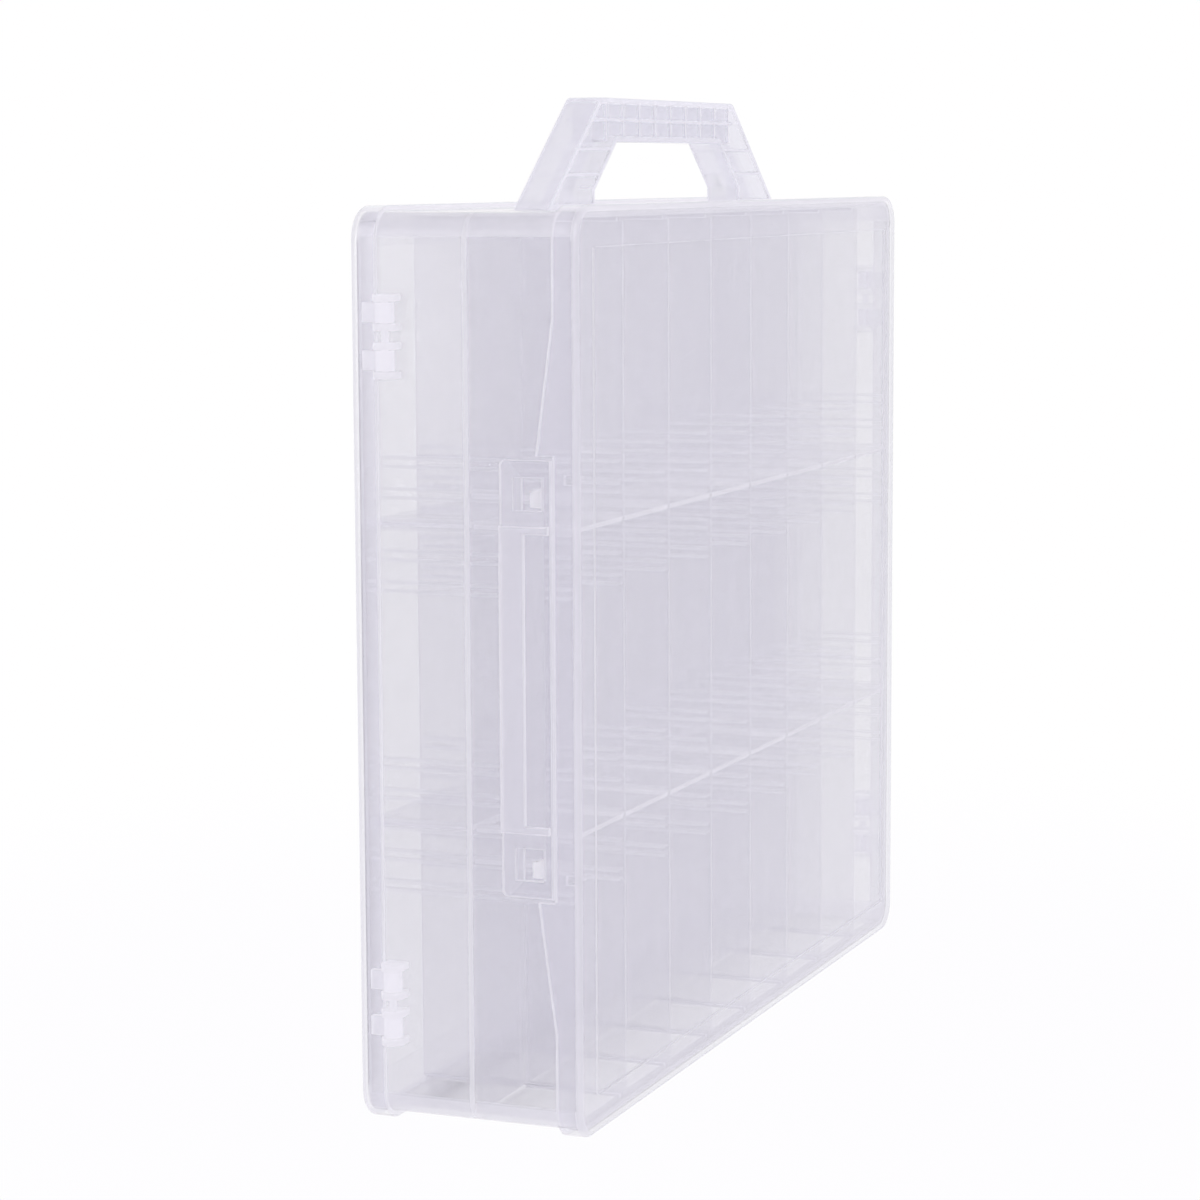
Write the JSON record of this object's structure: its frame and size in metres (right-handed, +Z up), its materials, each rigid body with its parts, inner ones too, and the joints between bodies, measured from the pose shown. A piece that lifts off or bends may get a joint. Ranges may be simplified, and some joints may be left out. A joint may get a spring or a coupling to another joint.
{
  "type": "bottle carrying case",
  "caption": "Translucent two-sided carrying case for nail polish bottles, with a hinged and latched lid on each side, columns with movable shelves and a carry handle.",
  "frame": {"origin": "bottom centre of the closed case, on the plane that it stands on", "axes": "+X along the wide face, from the latch to the hinge of the front lid; +Y through the depth, from the front lid to the back lid; +Z up to the handle"},
  "size_m": [0.3412, 0.076, 0.3243],
  "materials": {
    "case_body_plastic": "satin translucent moulded polypropylene",
    "handle_plastic": "satin translucent moulded polypropylene",
    "divider_plastic": "satin translucent moulded polypropylene",
    "shelf_plastic": "satin translucent moulded polypropylene",
    "lid_plastic": "satin translucent moulded polypropylene",
    "latch_plastic": "satin translucent moulded polypropylene"
  },
  "bodies": {
    "case": {"case_body": "case_body_plastic", "handle": "handle_plastic", "column_divider_front_1": "divider_plastic", "column_divider_front_2": "divider_plastic", "column_divider_front_3": "divider_plastic", "column_divider_front_4": "divider_plastic", "column_divider_front_5": "divider_plastic", "column_divider_front_6": "divider_plastic", "column_divider_front_7": "divider_plastic", "column_divider_back_1": "divider_plastic", "column_divider_back_2": "divider_plastic", "column_divider_back_3": "divider_plastic", "column_divider_back_4": "divider_plastic", "column_divider_back_5": "divider_plastic", "column_divider_back_6": "divider_plastic", "column_divider_back_7": "divider_plastic", "shelf_front_lower_1": "shelf_plastic", "shelf_front_lower_2": "shelf_plastic", "shelf_front_lower_3": "shelf_plastic", "shelf_front_lower_4": "shelf_plastic", "shelf_front_lower_5": "shelf_plastic", "shelf_front_lower_6": "shelf_plastic", "shelf_front_lower_7": "shelf_plastic", "shelf_front_lower_8": "shelf_plastic", "shelf_front_upper_1": "shelf_plastic", "shelf_front_upper_2": "shelf_plastic", "shelf_front_upper_3": "shelf_plastic", "shelf_front_upper_4": "shelf_plastic", "shelf_front_upper_5": "shelf_plastic", "shelf_front_upper_6": "shelf_plastic", "shelf_front_upper_7": "shelf_plastic", "shelf_front_upper_8": "shelf_plastic", "shelf_back_lower_1": "shelf_plastic", "shelf_back_lower_2": "shelf_plastic", "shelf_back_lower_3": "shelf_plastic", "shelf_back_lower_4": "shelf_plastic", "shelf_back_lower_5": "shelf_plastic", "shelf_back_lower_6": "shelf_plastic", "shelf_back_lower_7": "shelf_plastic", "shelf_back_lower_8": "shelf_plastic", "shelf_back_upper_1": "shelf_plastic", "shelf_back_upper_2": "shelf_plastic", "shelf_back_upper_3": "shelf_plastic", "shelf_back_upper_4": "shelf_plastic", "shelf_back_upper_5": "shelf_plastic", "shelf_back_upper_6": "shelf_plastic", "shelf_back_upper_7": "shelf_plastic", "shelf_back_upper_8": "shelf_plastic"},
    "front_lid": {"front_lid": "lid_plastic"},
    "back_lid": {"back_lid": "lid_plastic"},
    "front_latch": {"front_latch": "latch_plastic"},
    "back_latch": {"back_latch": "latch_plastic"}
  },
  "joints": [
    {"name": "front_lid_hinge", "type": "hinge", "parent": "case", "child": "front_lid", "pos_m": [0.1669, -0.0252, 0.145], "axis": [0, 0, 1], "range_deg": [0, 180]},
    {"name": "back_lid_hinge", "type": "hinge", "parent": "case", "child": "back_lid", "pos_m": [-0.1669, 0.0252, 0.145], "axis": [0, 0, 1], "range_deg": [0, 180]},
    {"name": "front_latch_hinge", "type": "hinge", "parent": "front_lid", "child": "front_latch", "pos_m": [-0.165, -0.0294, 0.145], "axis": [0, 0, 1], "range_deg": [0, 120]},
    {"name": "back_latch_hinge", "type": "hinge", "parent": "back_lid", "child": "back_latch", "pos_m": [0.165, 0.0294, 0.145], "axis": [0, 0, 1], "range_deg": [0, 120]}
  ]
}
